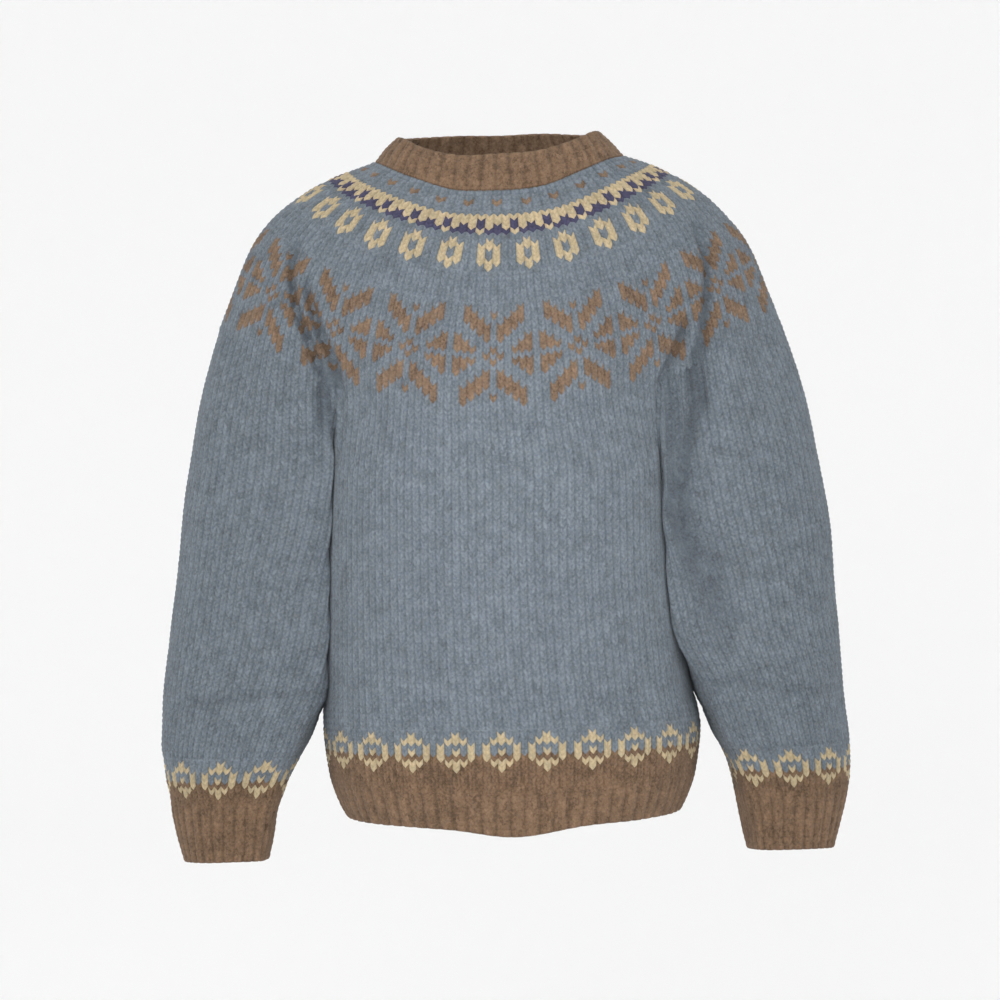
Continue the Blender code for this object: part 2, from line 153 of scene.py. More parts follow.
# Troughs that the arms' hang presses into the cloth, on the outer side. A course is where a trough runs
# on its piece, as (share round, share down), from its upper end
YOKE_CREASES = (
    # course, depth, half width in shares of the round
    (((-0.186, 0.48), (-0.183, 0.60), (-0.161, 0.76), (-0.147, 0.84), (-0.134, 0.97)), 9.0, 0.0050),
    (((-0.165, 0.60), (-0.140, 0.78), (-0.127, 0.87), (-0.123, 1.00)), 10.0, 0.0055),
    (((0.190, 0.42), (0.185, 0.62), (0.167, 0.83), (0.155, 0.97)), 7.0, 0.0055),
    (((0.152, 0.78), (0.136, 0.92), (0.125, 1.00)), 7.0, 0.0050),
    (((0.345, 0.52), (0.362, 0.85), (0.375, 1.00)), 6.5, 0.0080),
    (((-0.345, 0.50), (-0.360, 0.82), (-0.375, 1.00)), 6.5, 0.0080),
)
# A sleeve's round starts at its outer side and goes towards the back
BOTH_SLEEVES_CREASES = (
    (((0.28, 0.02), (0.34, 0.30)), 3.5, 0.020),
    (((0.60, 0.78), (0.86, 0.86)), 2.2, 0.050),
    (((0.10, 0.80), (0.40, 0.88)), 2.2, 0.050),
)
LONG_COURSE = (
    (0.756, -0.12), (0.748, 0.01), (0.750, 0.10), (0.720, 0.19), (0.694, 0.30), (0.681, 0.42),
)
SLEEVE_CREASES = {
    1: (
        (LONG_COURSE, 5.5, 0.014),
        (((0.697, -0.05), (0.690, 0.20), (0.693, 0.42), (0.700, 0.62)), 4.5, 0.036),
        *BOTH_SLEEVES_CREASES,
    ),
    -1: (
        (((0.712, -0.08), (0.705, 0.00), (0.690, 0.14)), 4.5, 0.012),
        *BOTH_SLEEVES_CREASES,
    ),
}
CREASE_END = 1.2  # a crease fades out at this share of its length

# ---- the knitting ----

# Stitches round each stretch
YOKE_FOOT_STITCHES = 192
BODY_UNDERARM_STITCHES = 16
SLEEVE_UNDERARM_STITCHES = 28
BODY_STITCHES = 128
SLEEVE_STITCHES = 76
BORDER_STITCHES = 144
SLEEVE_BORDER_STITCHES = 60
COLLAR_STITCHES = 96

YOKE_BANDS = (
    # rows, stitches, share down where it ends
    (5, 81, 0.117),
    (4, 108, 0.206),
    (6, 135, 0.370),
    (6, 162, 0.530),
    (19, YOKE_FOOT_STITCHES, 1.0),
)
BODY_ROWS = 50
SLEEVE_ROWS = 74
BORDER_ROWS = 7
# Rows on the inner side. That of the body and of the sleeves has half as many as the outer side
YOKE_LINING_ROWS = 18
BORDER_LINING_ROWS = 3
HEM_ROWS = 10
CUFF_ROWS = 11
COLLAR_ROWS = 7
BORDER_HEIGHT = -534.0  # top of the body's border
SLEEVE_BORDER_HEIGHT = -561.0  # top of a sleeve's border

ACROSS = 4  # columns of faces in a stitch
DOWN = 3  # rows of faces in a stitch
# How far the row lines rise over a stitch's columns, in rows: the foot of the V is in its middle
V_RISE = (0.38, 0.0, -0.38, 0.0)
# Height over the smooth form, in mm: the gap between stitches, a leg, the V's middle, a leg
V_LIFT = (-0.85, 0.45, 0.00, 0.45)
# What is added to the legs and to the gaps in each of the rows of faces
LEG_ROWS = (-0.55, 0.18, 0.14)
GAP_ROWS = (-0.35, 0.18, 0.12)
# A rib of one plain and one purl stitch: heights over its eight columns, and the rise of its rows
RIB_LIFT = (0.30, 0.65, 0.40, 0.65, 0.30, -0.15, -0.95, -0.15)
RIB_RISE = (0.26, 0.0, -0.38, 0.0, 0.26, 0.06, 0.0, 0.06)
RIB_ROWS = 0.7  # how much of LEG_ROWS and GAP_ROWS a rib takes
LIFT_TOP, LIFT_REACH = 0.70, 1.90  # the height with no painted shade in it, and how far below it the painted shade is darkest
FOLD_REACH = 6.5  # how deep in a crease the painted shade is darkest
STITCH_JITTER = 0.10  # how unevenly high the stitches are, in mm
WANDER = 0.35  # how far a column of stitches strays to its sides, in mm
WANDER_ROWS = 7.0  # and over how many rows
ZIP = 0.46  # rows between the middle of a band's points and the level edge of the band beside it
ROOM = 1.0  # rows kept free above a pattern whose points meet those of the pattern above
ZIP_LIFT = 0.3  # the height of such a level edge
LEVEL_ROWS = 1.5  # over how many rows the stitches' points level out towards such an edge
LIP = 1.1  # how far a free edge rounds out
INSIDE_RELIEF = 0.5  # how much of the relief a band's inner side has
PURL_LIFT = 0.5  # how high the bumps on the inner side are, in mm
# The shade painted evenly over the inner side of the blue cloth, from 0 to 1
PURL_SHADE = 0.5

# Soft waves in the worn cloth
DRAPE = (
    # wave vector (x, y, z) in turns for each metre, phase, height in mm
    ((11.0, 4.0, 1.6), 0.15, 0.55),
    ((-7.5, 9.0, 2.2), 0.62, 0.55),
    ((17.0, -6.0, -3.0), 0.37, 0.35),
    ((5.0, 13.0, -4.2), 0.81, 0.40),
    ((2.0, -3.0, 9.5), 0.48, 0.35),
)
# Where a sleeve lies on the body the cloth is calm: from and to this far out, below this height
CALM_NEAR, CALM_FAR, CALM_BELOW = 140.0, 186.0, -250.0
CALM_FADE = 25.0
# And its stitches are pressed flat: this near to the body's side, to this depth from the arm's middle and
# between these heights
FLAT_NEAR, FLAT_DEPTH = 2.5, 64.0
FLAT_FROM, FLAT_TO = -268.0, -510.0
FLAT_NEAR_FADE, FLAT_FADE = 2.5, 8.0
FLAT_LIFT = -0.2  # the height that they are pressed to

BLUE, BROWN, CREAM, PURPLE, BAND = range(5)
YARNS = {".": BLUE, "b": BROWN, "c": CREAM, "p": PURPLE, "n": BAND}

# One repeat of each pattern, top row first
HALF_STAR = (
    ".b.......b..",
    ".bb..b..bb..",
    ".bbb...bbb..",
    "..bbb.bbb...",
    "...bb.bb....",
    "b...b.b...b.",
    "bb.......bb.",
    "bbb..b..bbb.",
)
STAR = (*HALF_STAR, "....b.b.....", *reversed(HALF_STAR))
PETAL = (
    "..c..",
    ".ccc.",
    ".c.c.",
    ".c.c.",
    ".ccc.",
    "..c..",
)
ZIGZAG = (
    "cccc",
    "cpcc",
    "cpcp",
    "pcpp",
)
DOTS = (".b.",)
BORDER = (
    "..c...",
    ".ccc..",
    "c...c.",
    "c.c.c.",
    "cnnncn",
    "ncccnn",
    "nncnnn",
)
# Where each chart lies
YOKE_PATTERN = (
    # chart, its first row, its middle column, share round of one middle
    (DOTS, 2, 1, -0.003),
    (ZIGZAG, 5, 1, -0.0203),
    (PETAL, 9, 2, -0.0092),
    (STAR, 21, 5, -0.0026),
)
BORDER_MIDDLE = 2
BODY_BORDER_SHARE = -0.0104
SLEEVE_BORDER_SHARE = {"right": 0.765, "left": 0.776}


def curve(knots, points, at):
    """Smooth lines through points (n, lines, 3) whose knots (n, lines) rise, read at (m, lines)."""
    step = np.diff(knots, axis=0)
    slope = np.diff(points, axis=0) / step[..., None]
    share = (step[:-1] / (step[:-1] + step[1:]))[..., None]
    tangent = np.concatenate([slope[:1], (1 - share) * slope[:-1] + share * slope[1:], slope[-1:]])
    place = (at[:, None, :] >= knots[None, 1:-1, :]).sum(axis=1)
    line = np.arange(knots.shape[1])[None, :]
    length = step[place, line][..., None]
    t = (at - knots[place, line])[..., None] / length
    start, end = points[place, line], points[place + 1, line]
    leave, arrive = tangent[place, line] * length, tangent[place + 1, line] * length
    return (
        start * (2 * t**3 - 3 * t**2 + 1)
        + leave * (t**3 - 2 * t**2 + t)
        + end * (3 * t**2 - 2 * t**3)
        + arrive * (t**3 - t**2)
    )


def chord_knots(points):
    """Knots along lines through points (n, lines, 3): the length of the chords so far."""
    chords = np.linalg.norm(np.diff(points, axis=0), axis=2)
    return np.concatenate([np.zeros((1, points.shape[1])), np.cumsum(chords, axis=0)])


def ring_through(half, shares):
    """A closed ring through the points of its right half, mirrored, at shares of the round."""
    right = np.array(half, float)
    ring = np.concatenate([right, right[-2:0:-1] * (-1, 1, 1)])
    count = len(ring)
    places = np.arange(-2, count + 3)
    knots = (places / count)[:, None]
    return curve(knots, ring[places % count][:, None, :], np.asarray(shares)[:, None] % 1.0)[:, 0]


def eased(share):
    """A share from 0 to 1 that starts and ends softly."""
    share = np.clip(share, 0, 1)
    return share * share * (3 - 2 * share)


def swayed(points):
    """Sets the shoulders, the front and the neck a little off the middle, as worn."""
    x, y, z = points[..., 0], points[..., 1], points[..., 2]
    moved = points.copy()
    moved[..., 0] -= YOKE_SWAY * eased((np.abs(x) - SWAY_FROM) / (SWAY_TO - SWAY_FROM))
    moved[..., 0] -= FRONT_TURN * eased(-y / FRONT_DEPTH) * eased(-z / FRONT_HEIGHT)
    moved[..., 2] += NECK_TILT * x * eased(-y / NECK_DEPTH) * (1 - eased(-z / NECK_FADE))
    return moved


def oval(squareness, inner_squareness):
    """A fine closed unit ring (out, across), from out = 1 towards across = 1."""
    angle = np.linspace(0, 2 * math.pi, OVAL_STEPS + 1)
    power = 2 / np.where(np.cos(angle) > 0, squareness, inner_squareness)
    out = np.sign(np.cos(angle)) * np.abs(np.cos(angle)) ** power
    across = np.sign(np.sin(angle)) * np.abs(np.sin(angle)) ** power
    return out, across


def evenly(ring, shares):
    """A fine closed ring of points (steps, 3), read at shares of its length."""
    steps = np.linalg.norm(np.diff(ring, axis=0), axis=1)
    length = np.concatenate([[0], np.cumsum(steps)])
    wanted = (np.asarray(shares) % 1.0) * length[-1]
    return np.stack([np.interp(wanted, length, values) for values in ring.T], axis=1)


def body_ring(row, shares):
    """A level ring of the body, from the front's middle towards +X."""
    height, half_width, front, back, sway = row
    forward, out = oval(BODY_SQUARENESS, BODY_SQUARENESS)
    depth = np.where(forward > 0, front, back)
    ring = np.stack([sway + half_width * out, -depth * forward, np.full(len(out), float(height))], axis=1)
    return evenly(ring, shares)


def hem_ring(row, shares, dip):
    """A ring of the hem band, which hangs lower by dip in the front's middle."""
    points = body_ring(row, shares)
    lower = dip * np.exp(-((points[:, 0] / HEM_DIP_REACH) ** 2))
    points[:, 2] -= np.where(points[:, 1] < 0, lower, 0.0)
    return points


def body_side(y, z, side):
    """How far out the body's side reaches at a depth and a height. side is 1 for the right one."""
    height, *columns = np.array(BODY_RINGS + HEM_RINGS, float)[::-1].T
    half_width, front, back, sway = (np.interp(z, height, values) for values in columns)
    share = np.clip(np.abs(y) / np.where(y < 0, front, back), 0, 1)
    return side * sway + half_width * (1 - share**BODY_SQUARENESS) ** (1 / BODY_SQUARENESS)


def sleeve_ring(row, shares, side, tilt=0.0):
    """A ring of a sleeve, from its outer side towards the back. side is 1 for the right one."""
    height, inner, outer, middle, half_depth, sway, fuller = row
    inner -= side * sway
    outer -= side * (sway + fuller)
    middle -= ARM_SWING[side] * eased((height - SWING_TO) / (SWING_FROM - SWING_TO))
    out, back = oval(SLEEVE_SQUARENESS, PRESSED_SQUARENESS)
    x = (inner + outer) / 2 + (outer - inner) / 2 * out
    y = middle + half_depth * back
    z = height - tilt * half_depth * back
    against = body_side(y, z, side) + PRESS_GAP
    proud = x - against
    x = against + (proud + np.sqrt(proud**2 + PRESS_BLEND**2)) / 2
    corner = UNDERARM_SHARE + (CORNER_SHARE - UNDERARM_SHARE) * eased(
        (height - CORNER_TO) / (CORNER_FROM - CORNER_TO))
    places = np.interp(shares, (0, UNDERARM_SHARE, 1 - UNDERARM_SHARE, 1), (0, corner, 1 - corner, 1))
    return evenly(np.stack([side * x, y, z], axis=1), places)


def closed_shares(columns):
    """Shares of the way round a piece with this many columns of faces."""
    return np.arange(columns) / columns


def unit(vectors):
    """The vectors with a length of 1."""
    return vectors / np.linalg.norm(vectors, axis=-1, keepdims=True)


def trough(round_share, down_share, crease):
    """How far a crease presses in the outer side: a soft trough that fades at both its ends."""
    course, depth, half_width = crease
    rounds, downs = zip(*course)
    t = (down_share - downs[0]) / (downs[-1] - downs[0])
    fade = np.clip(4 * t * (CREASE_END - t), 0, 1)
    middle = np.interp(down_share, downs, rounds)
    off = (round_share - middle + 0.5) % 1.0 - 0.5
    return depth * fade * np.exp(-((off / half_width) ** 2))


def directions(grid, flip):
    """Unit directions into the cloth from a grid of outer points (rows, columns, 3), closed round.
    flip is -1 where the rows go up or the columns go the other way round."""
    round_way = np.roll(grid, -1, axis=1) - np.roll(grid, 1, axis=1)
    down_way = np.gradient(grid, axis=0)
    return unit(np.cross(round_way, down_way) * flip)


class Surface:
    """A piece's outer form: lines (knots, columns, 3) that are read between two of their knots."""

    def __init__(self, lines, first, last, flip, creases=()):
        self.lines = lines
        self.knots = chord_knots(lines)
        self.first, self.last = self.knots[first], self.knots[last]
        self.before, self.whole = 0.0, 1.0
        self.flip = flip
        self.creases = creases
        self.shares = closed_shares(lines.shape[1])

    def knots_at(self, height):
        """The lines' knots at a height, between two level rings."""
        heights = self.lines[:, 0, 2]
        above = int(np.sum(heights > height)) - 1
        share = (heights[above] - height) / (heights[above] - heights[above + 1])
        return self.knots[above] + share * (self.knots[above + 1] - self.knots[above])

    def from_height(self, height):
        """Starts the lines at a height."""
        self.first = self.knots_at(height)
        return self

    def to_height(self, height):
        """Ends the lines at a height."""
        self.last = self.knots_at(height)
        return self

    def part(self, start, end):
        """Keeps the stretch between two shares of the way down."""
        whole = self.last - self.first
        self.first, self.last = self.first + start * whole, self.first + end * whole
        self.before, self.whole = start, end - start
        return self

    def read(self, down):
        """Points at shares (rows, columns) of the way down, the directions into the cloth, and how deep
        the points lie in creases."""
        points = curve(self.knots, self.lines, self.first + down * (self.last - self.first))
        into = directions(points, self.flip)
        folded = np.zeros(points.shape[:2])
        for crease in self.creases:
            folded += trough(self.shares[None, :], self.before + down * self.whole, crease)
        points = points + into * (drape(points) + folded)[..., None]
        return points, directions(points, self.flip), folded


def drape(points):
    """How far the soft waves press points (..., 3) into the cloth."""
    x, z = np.abs(points[..., 0]), points[..., 2]
    calm = eased((x - CALM_NEAR) / CALM_FADE + 1) * eased((CALM_FAR - x) / CALM_FADE + 1)
    calm = calm * eased((CALM_BELOW - z) / CALM_FADE + 1)
    pressed = 0.0
    for way, phase, height in DRAPE:
        turns = points @ np.array(way) / METRE + phase
        pressed = pressed + height * np.sin(2 * math.pi * turns)
    return pressed * (1 - calm)


def flattened(points):
    """How flat a sleeve and the body press the stitches at points (..., 3), from 0 to 1."""
    x, y, z = points[..., 0], points[..., 1], points[..., 2]
    side = np.sign(x)
    off = np.abs(x) - body_side(y, z, side)
    depth = np.abs(y + np.where(x > 0, ARM_SWING[1], ARM_SWING[-1]))
    flat = eased((FLAT_NEAR - off) / FLAT_NEAR_FADE + 1) * eased((FLAT_DEPTH - depth) / FLAT_FADE + 1)
    return flat * eased((FLAT_FROM - z) / FLAT_FADE + 1) * eased((z - FLAT_TO) / FLAT_FADE + 1)


def yoke_levels(shares):
    """The yoke's five rings at shares of the round: (5, columns, 3)."""
    lines = np.array(YOKE_LINES, float)
    return np.stack([swayed(ring_through(lines[:, ring], shares)) for ring in range(lines.shape[1])])


def yoke_rise(shares):
    """How much of the yoke's lines is left to the sleeves and the body, at shares of the round."""
    return YOKE_RISE * np.abs(np.sin(2 * math.pi * shares)) ** RISE_POWER - YOKE_DROP


def ring_below_yoke(columns):
    """Where each line of the yoke leads: the first rings of the body and of the sleeves."""
    quarter = columns // 8
    below = np.empty((columns, 3))
    body_columns, sleeve_columns = (
        columns * stitches // YOKE_FOOT_STITCHES for stitches in (BODY_STITCHES, SLEEVE_STITCHES)
    )
    body = body_ring(BODY_RINGS[0], closed_shares(body_columns))
    front = np.arange(-quarter, quarter + 1)
    below[front] = body[front]
    back = np.arange(3 * quarter, 5 * quarter + 1)
    below[back] = body[back - (columns - body_columns) // 2]
    for side in (1, -1):
        step = np.arange(-quarter + 1, quarter)
        ring = sleeve_ring(SLEEVE_RINGS[0], closed_shares(sleeve_columns), side)
        below[side * (2 * quarter + step)] = ring[step]
    return below


def underarm(foot, foot_into, side, stitches):
    """The seam under an arm, from front to back, its directions and a ring above it. Both its ends are
    taken from the yoke's foot."""
    quarter = len(foot) // 8
    front, back = side * quarter, side * 3 * quarter
    points = np.array(UNDERARM, float)
    points[0], points[-1] = YOKE_LINES[FRONT_ARMHOLE][-1], YOKE_LINES[BACK_ARMHOLE][-1]
    knots = np.linspace(0, 1, len(points))[:, None]
    shares = np.linspace(0, 1, stitches * ACROSS + 1)
    seam = curve(knots, points[:, None, :], shares[:, None])[:, 0]
    seam[:, 0] *= side
    seam = swayed(seam)
    seam += np.outer((1 - shares) ** SEAM_BLEND, foot[front] - seam[0])
    seam += np.outer(shares**SEAM_BLEND, foot[back] - seam[-1])
    lean = np.sin(math.pi * shares)[:, None]
    ends = np.where(shares[:, None] < 0.5, foot_into[front], foot_into[back])
    into = unit((1 - lean) * ends + lean * np.array([0.0, 0.0, 1.0]))
    return seam, into, seam + np.array([0.0, 0.0, SEAM_LEAD])


def round_body(own, right, left):
    """What the yoke's foot has on its own columns, and the seams under the arms have, in the order of the
    body's columns."""
    quarter = len(own) // 8
    return np.concatenate([own[:quarter], right, own[3 * quarter:5 * quarter], left, own[-quarter:]])


def round_sleeve(own, seam, side):
    """The same in the order of a sleeve's columns."""
    quarter = len(own) // 8
    back_half = side * np.arange(2 * quarter, 3 * quarter)
    front_half = side * np.arange(quarter, 2 * quarter)
    return np.concatenate([own[back_half], seam, own[front_half]])


def body_edge(foot, foot_into, foot_above):
    """The body's upper ring, its directions and a ring above it, from the front's middle towards +X."""
    seams = [underarm(foot, foot_into, side, BODY_UNDERARM_STITCHES) for side in (1, -1)]
    return [
        round_body(own, right[:-1], left[:0:-1])
        for own, right, left in zip((foot, foot_into, foot_above), *seams)
    ]


def sleeve_edge(foot, foot_into, foot_above, side):
    """A sleeve's upper ring, its directions and a ring above it, from the outer side towards the back."""
    seams = underarm(foot, foot_into, side, SLEEVE_UNDERARM_STITCHES)
    return [round_sleeve(own, seam[:0:-1], side) for own, seam in zip((foot, foot_into, foot_above), seams)]


def placed(name, data):
    """A new object in the scene."""
    thing = bpy.data.objects.new(name, data)
    bpy.context.scene.collection.objects.link(thing)
    return thing


class Wall:
    """A closed wall: rings of points down the outer side, then up the inner side."""

    def __init__(self):
        self.rings = []

    def ring(self, points, shares, stitches, row, paint=BLUE, tone=0.0, hollow=0.0, hard=False):
        """Adds a ring. paint and tone are its yarn and its legs' tone down to the next ring, and the painted
        shade of its points follows them, from 0 to 1: most where they lie deep in the knitting."""
        closed = np.append(shares, shares[0] + 1.0)
        ring = {"points": points, "shares": closed, "stitches": stitches, "row": row}
        for title, values in (("paint", paint), ("tone", tone), ("hollow", hollow), ("hard", hard)):
            ring[title] = np.broadcast_to(values, len(points))
        self.rings.append(ring)

    def strip(self, upper, lower):
        """The faces between two rings: the ring and the column of each corner, and each face's column."""
        n, m = (len(ring["points"]) for ring in (upper, lower))
        if n == m:
            column = np.arange(n)
            sides = np.broadcast_to([0, 1, 1, 0], (n, 4))
            corners = np.stack([column, column, column + 1, column + 1], axis=1)
            return sides, corners, column
        sides, corners, columns = [], [], []
        i = j = 0
        while i < n or j < m:
            columns.append(min(i, n - 1))
            if j == m or (i < n and upper["shares"][i + 1] <= lower["shares"][j + 1]):
                sides.append((0, 1, 0))
                corners.append((i, j, i + 1))
                i += 1
            else:
                sides.append((0, 1, 1))
                corners.append((i, j, j + 1))
                j += 1
        return np.array(sides), np.array(corners), np.array(columns)

    def build(self, name):
        """The mesh object, smooth but for its hard rings, with its tones, its painted shade and its stitch
        map.
        """
        counts = [len(ring["points"]) for ring in self.rings]
        starts = np.concatenate([[0], np.cumsum(counts)])[:-1]
        points = np.concatenate([ring["points"] for ring in self.rings])
        faces, places, paint, tone = [], [], [], []
        for number, upper in enumerate(self.rings):
            following = (number + 1) % len(counts)
            lower = self.rings[following]
            sides, corners, column = self.strip(upper, lower)
            start = np.where(sides == 0, starts[number], starts[following])
            count = np.where(sides == 0, counts[number], counts[following])
            faces += (start + corners % count).tolist()
            along = np.where(sides == 0, upper["shares"][np.minimum(corners, counts[number])],
                             lower["shares"][np.minimum(corners, counts[following])])
            across = (along - upper["shares"][0]) * upper["stitches"]
            down = upper["row"] + sides * (1.0 / DOWN)
            places.append(np.stack([across, down], axis=-1))
            paint.append(upper["paint"][column])
            tone.append(upper["tone"][column])
        first = np.array([face[:3] for face in faces])
        a, b, c = (points[first[:, corner]] for corner in range(3))
        if np.sum(a * np.cross(b, c)) < 0:
            faces = [face[::-1] for face in faces]
            places = [place[:, ::-1] for place in places]
        mesh = bpy.data.meshes.new(name)
        mesh.from_pydata((points / METRE).tolist(), [], faces)
        mesh.polygons.foreach_set("material_index", np.concatenate(paint).astype(np.int32))
        mesh.uv_layers.new(name="stitches").data.foreach_set(
            "uv", np.concatenate([place.ravel() for place in places]))
        for attribute, domain, values in (
            ("tone", "FACE", np.concatenate(tone)),
            ("hollow", "POINT", np.concatenate([ring["hollow"] for ring in self.rings])),
        ):
            data = mesh.attributes.new(attribute, "FLOAT", domain).data
            data.foreach_set("value", values.astype(np.float32))
        mesh.shade_smooth()
        self.crease_edges(mesh, counts)
        mesh.update()
        return placed(name, mesh)

    def crease_edges(self, mesh, counts):
        """Marks the edges along each hard ring as sharp."""
        hard = np.concatenate([ring["hard"] for ring in self.rings])
        ring = np.repeat(np.arange(len(counts)), counts)
        ends = np.empty(len(mesh.edges) * 2, np.int32)
        mesh.edges.foreach_get("vertices", ends)
        one, other = ends[0::2], ends[1::2]
        sharp = hard[one] & (ring[one] == ring[other])
        mesh.attributes.new("sharp_edge", "BOOLEAN", "EDGE").data.foreach_set("value", sharp)


def charted(rows, stitches, patterns):
    """The yarn of each stitch, (rows, stitches), from charts (chart, first row, middle, share)."""
    yarn = np.full((rows, stitches), BLUE, np.int32)
    for chart, first_row, middle, share in patterns:
        shift = round(share * stitches - 0.5)
        for number, line in enumerate(chart):
            row = first_row + number
            if 0 <= row < rows:
                letters = [line[(stitch - shift + middle) % len(line)] for stitch in range(stitches)]
                yarn[row] = [YARNS[letter] for letter in letters]
    return yarn


def phase_of(share, stitches):
    """How far a band's stitches are turned, in shares, so that one has its middle at share."""
    return share - (round(share * stitches - 0.5) + 0.5) / stitches


def strayed(points, random, rows, stitches, along):
    """Moves each column of stitches a little to its sides, less towards the first and last rows."""
    lag = math.exp(-1 / WANDER_ROWS)
    stray = np.empty((rows + 1, stitches))
    stray[0] = random.normal(0, 1, stitches)
    for row in range(1, rows + 1):
        stray[row] = lag * stray[row - 1] + math.sqrt(1 - lag * lag) * random.normal(0, 1, stitches)
    stray *= WANDER * np.clip(np.minimum(np.arange(rows + 1), rows - np.arange(rows + 1)) / 2, 0, 1)[:, None]
    column = (np.arange(stitches * ACROSS) / ACROSS - 0.5) % stitches
    beside = np.floor(column).astype(int)
    share = column - beside
    wide = stray[:, beside] * (1 - share) + stray[:, (beside + 1) % stitches] * share
    row = np.minimum(along.astype(int), rows - 1)
    part = (along - row)[:, None]
    wide = wide[row] * (1 - part) + wide[row + 1] * part
    sideways = unit(np.roll(points, -1, axis=1) - np.roll(points, 1, axis=1))
    return points + sideways * wide[..., None]


def knit_rings(wall, surface, yarn, random, ribs=None, top=0.0, bottom=0.0, zips=(0.0, 0.0),
               room=0.0, joined=None, seam=False, inside=False, below=None):
    """Adds a band of stitches to a wall, in relief on the surface. yarn is (rows, stitches).

    ribs gives how far each row's stitches are ribs, from 0 to 1. top and bottom are 1 where the first
    and the last row line run level, and zips is how many rows inside the band they do. room is how many
    rows are kept free above it. joined is the ring of points above a seam at the top, seam says that
    there is one at the bottom, and inside makes the inner side, from the bottom up. below is the yarn
    that runs on under the last row line, where it isn't the last row's. Returns the points and the
    directions into the cloth."""
    rows, stitches = yarn.shape
    ring = np.arange(rows * DOWN + 1)
    along = ring / DOWN
    column = np.arange(stitches * ACROSS)
    rib = np.zeros(rows + 1) if ribs is None else np.append(ribs, ribs[-1])
    rib = np.interp(along, np.arange(rows + 1), rib)[:, None]

    rise = (1 - rib) * np.array(V_RISE)[column % ACROSS] + rib * np.array(RIB_RISE)[column % (2 * ACROSS)]
    level_top = np.asarray(top) * np.clip(1 - along / LEVEL_ROWS, 0, 1)[:, None]
    level_bottom = np.asarray(bottom) * np.clip(1 - (rows - along) / LEVEL_ROWS, 0, 1)[:, None]
    rise = rise * (1 - level_top) * (1 - level_bottom)
    line = along + zips[0] * np.clip(1 - along, 0, 1) - zips[1] * np.clip(1 - (rows - along), 0, 1)
    line = room + line * (1 - room / rows)
    points, into, folded = surface.read((line[:, None] - rise) / rows)
    points = strayed(points, random, rows, stitches, along)

    step = ring % DOWN
    leg = (column % 2 == 1)[None, :]
    course = np.where(leg, np.array(LEG_ROWS)[step][:, None], np.array(GAP_ROWS)[step][:, None])
    plain = np.array(V_LIFT)[column % ACROSS] + course
    ribbed = np.array(RIB_LIFT)[column % (2 * ACROSS)] + RIB_ROWS * course
    lift = (1 - rib) * plain + rib * ribbed
    uneven = random.normal(0, STITCH_JITTER, (rows, stitches))
    row = np.minimum(ring // DOWN, rows - 1)
    lift = lift + uneven[row][:, column // ACROSS] * leg
    for end, rows_in in zip((0, -1), zips):
        if rows_in:
            lift[end] = ZIP_LIFT
    flat = flattened(points)
    lift = lift + flat * (FLAT_LIFT - lift)
    # Painted shade: darker where the stitches lie low in the relief and where creases press in, standing in
    # for the shade there
    hollow = np.clip((LIFT_TOP - lift) / LIFT_REACH + folded / FOLD_REACH, 0, 1)
    if inside:
        points = points + into * (WALL + INSIDE_RELIEF * lift)[..., None]
    else:
        points = points - into * lift[..., None]
    if joined is not None:
        points[0] = joined + unit(points[1] - joined) * SEAM_GAP

    tone = random.normal(0, 1, (rows, 2 * stitches))
    hard = {0: joined is not None or inside, len(ring) - 1: seam}
    for number in reversed(ring) if inside else ring:
        row = max(min((number - 1 if inside else number) // DOWN, rows - 1), 0)
        paint = yarn[row][column // ACROSS]
        if below is not None and number == len(ring) - 1:
            paint = below
        wall.ring(points[number], surface.shares, stitches, -along[number] if inside else along[number],
                  paint, tone[row][2 * column // ACROSS], hollow[number], hard.get(number, False))
    return points, into


def lining(wall, surface, rows, stitches, hard_top, hard_bottom):
    """Adds the inner side of blue cloth from the bottom up: a bump for each purl stitch, and an even painted
    shade.
    """
    along = np.broadcast_to(np.arange(rows + 1)[:, None] / rows, (rows + 1, stitches))
    points, into, _ = surface.read(along)
    bump = PURL_LIFT * ((np.arange(rows + 1)[:, None] + np.arange(stitches)[None, :]) % 2)
    points = points + into * (WALL - bump)[..., None]
    for row in range(rows, -1, -1):
        hard = (hard_bottom and row == rows) or (hard_top and row == 0)
        wall.ring(points[row], surface.shares, stitches, -row, hollow=PURL_SHADE, hard=hard)


# ---- the pieces ----


def yoke_surface(columns, shift=0.0, start=0.0, end=1.0):
    """The yoke's form with this many columns, turned by a share, between two shares of the way down."""
    shares = closed_shares(columns) + shift
    levels = yoke_levels(shares)
    if columns % YOKE_FOOT_STITCHES == 0:
        levels = np.concatenate([levels, [ring_below_yoke(columns)]])
    surface = Surface(levels, 0, 4, 1, YOKE_CREASES)
    surface.shares = shares
    surface.last = surface.last - (surface.last - surface.first) * yoke_rise(shares)
    return surface.part(start, end)


def yoke_foot():
    """The yoke's smooth lower edge, its directions and the ring above it, on the columns of the foot."""
    columns = YOKE_FOOT_STITCHES * ACROSS
    down = np.broadcast_to(np.linspace(0.9, 1.0, 5)[:, None], (5, columns))
    points, into, _ = yoke_surface(columns).read(down)
    return points[-1], into[-1], points[0]


def armhole_fade():
    """1 at the four ends of the armholes and 0 two stitches away, for the columns of the foot."""
    quarter = YOKE_FOOT_STITCHES * ACROSS // 4
    column = np.arange(4 * quarter)
    off = np.abs(column % quarter - quarter // 2)
    return np.clip(1 - off / (2 * ACROSS), 0, 1)


